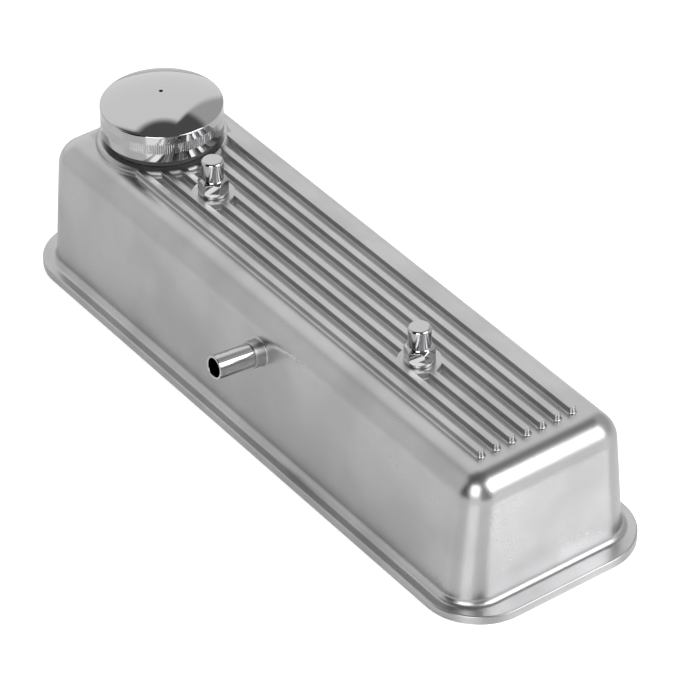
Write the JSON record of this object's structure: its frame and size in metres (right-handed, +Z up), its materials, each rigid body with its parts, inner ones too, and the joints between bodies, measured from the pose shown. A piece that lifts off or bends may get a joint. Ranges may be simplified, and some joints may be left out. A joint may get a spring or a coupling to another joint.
{
  "type": "engine valve cover",
  "caption": "Long cast alloy valve cover with straight fins, round filler cap, hexagonal cover nuts and a side breather tube.",
  "frame": {"origin": "middle of the flange's underside, the face that meets the engine", "axes": "+X along the cover away from the filler, +Y across it away from the breather, +Z up through the finned top"},
  "size_m": [0.36, 0.1261, 0.0989],
  "materials": {
    "cast_alloy": "satin polished casting",
    "chrome": "bright chrome plate",
    "zinc_steel": "zinc-plated pressed steel",
    "seal_rubber": "black moulded rubber",
    "steel_gauze": "knitted steel wire"
  },
  "bodies": {
    "cover": {"cover_casting": "cast_alloy", "front_nut_washer": "chrome", "rear_nut_washer": "chrome", "front_stud_bush": "seal_rubber", "rear_stud_bush": "seal_rubber", "front_stud_sleeve": "zinc_steel", "rear_stud_sleeve": "zinc_steel", "breather_tube": "chrome", "breather_gauze": "steel_gauze", "baffle_plate": "zinc_steel", "baffle_screws": "zinc_steel", "baffle_lock_washers": "zinc_steel"},
    "filler_cap": {"filler_cap_shell": "chrome", "filler_cap_pan": "zinc_steel", "filler_cap_filter_plate": "zinc_steel", "filler_cap_gauze": "steel_gauze", "filler_cap_locking_plate": "zinc_steel", "filler_cap_rivet": "zinc_steel", "filler_cap_seal": "seal_rubber"},
    "front_nut": {"front_cover_nut": "chrome"},
    "rear_nut": {"rear_cover_nut": "chrome"}
  },
  "joints": [
    {"name": "filler_cap_turn", "type": "hinge", "parent": "cover", "child": "filler_cap", "pos_m": [-0.1325, 0, 0.0739], "axis": [0, 0, 1], "range_deg": [0, 90]},
    {"name": "front_nut_spin", "type": "hinge", "parent": "cover", "child": "front_nut", "pos_m": [-0.0788, -0.0078, 0.0754], "axis": [0, 0, 1], "continuous": true},
    {"name": "rear_nut_spin", "type": "hinge", "parent": "cover", "child": "rear_nut", "pos_m": [0.0824, -0.0078, 0.0754], "axis": [0, 0, 1], "continuous": true}
  ]
}
